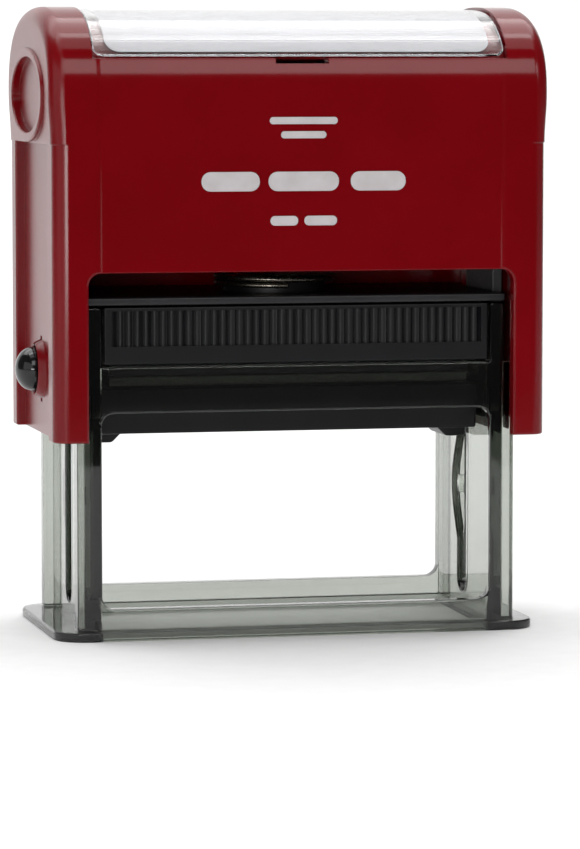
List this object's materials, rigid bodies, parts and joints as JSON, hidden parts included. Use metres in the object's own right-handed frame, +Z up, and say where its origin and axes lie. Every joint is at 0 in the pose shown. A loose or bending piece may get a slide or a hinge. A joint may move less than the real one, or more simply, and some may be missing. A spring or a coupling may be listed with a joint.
{
  "type": "self inking stamp",
  "caption": "Self-inking stamp with an arched push-down cap, clear frame, flipping platen, ink pad, index window and side lock buttons.",
  "frame": {"origin": "centre of the underside of the foot, on the surface that the stamp stands on", "axes": "+X to the stamp's right along its long side, +Y to the back, +Z up"},
  "size_m": [0.084, 0.042, 0.0985],
  "materials": {
    "red_gloss": "deep red, glossy injection moulding",
    "smoke_frame": "smoke grey-green see-through plastic, polished",
    "black_plastic": "black, satin",
    "black_gloss": "black, glossy",
    "grey_plastic": "dark grey, satin",
    "acetal": "off-white, satin",
    "clear_cover": "clear, polished",
    "white_card": null,
    "inked_felt": "ink-soaked felt",
    "foam": "closed-cell foam, matte",
    "die_rubber": "dark grey rubber, matte",
    "spring_wire": "drawn steel wire",
    "pin_steel": "ground steel"
  },
  "bodies": {
    "base": {"base_frame": "smoke_frame", "top_bridge": "black_plastic", "ink_pad_tray": "black_plastic", "ink_felt": "inked_felt", "return_spring": "spring_wire"},
    "cap": {"outer_cap": "red_gloss", "drive_yoke": "grey_plastic", "index_card": "white_card", "left_slot_bush": "acetal", "right_slot_bush": "acetal"},
    "platen_unit": {"platen": "black_plastic", "die_foam": "foam", "rubber_die": "die_rubber", "left_axle_pin": "pin_steel", "right_axle_pin": "pin_steel", "left_flip_pin": "grey_plastic", "right_flip_pin": "grey_plastic"},
    "left_lock": {"left_button": "black_gloss"},
    "right_lock": {"right_button": "black_gloss"},
    "window": {"window_cover": "clear_cover"}
  },
  "joints": [
    {"name": "cap_press", "type": "slide", "parent": "base", "child": "cap", "axis": [0, 0, -1], "range_m": [0, 0.0294], "stiffness_N_per_m": 300, "springref_m": -0.01, "deforming": ["return_spring"]},
    {"name": "platen_flip", "type": "hinge", "parent": "cap", "child": "platen_unit", "pos_m": [0, 0, 0.036], "axis": [1, 0, 0], "range_deg": [0, 180]},
    {"name": "left_button_push", "type": "slide", "parent": "cap", "child": "left_lock", "axis": [1, 0, 0], "range_m": [0, 0.0012], "stiffness_N_per_m": 500, "springref_m": -0.001},
    {"name": "right_button_push", "type": "slide", "parent": "cap", "child": "right_lock", "axis": [-1, 0, 0], "range_m": [0, 0.0012], "stiffness_N_per_m": 500, "springref_m": -0.001},
    {"name": "window_lift", "type": "slide", "parent": "cap", "child": "window", "axis": [0, 0, 1], "range_m": [0, 0.012]}
  ],
  "couplings": [
    {"joint": "platen_flip", "follows": "cap_press", "rad_per_m": 106.85}
  ]
}
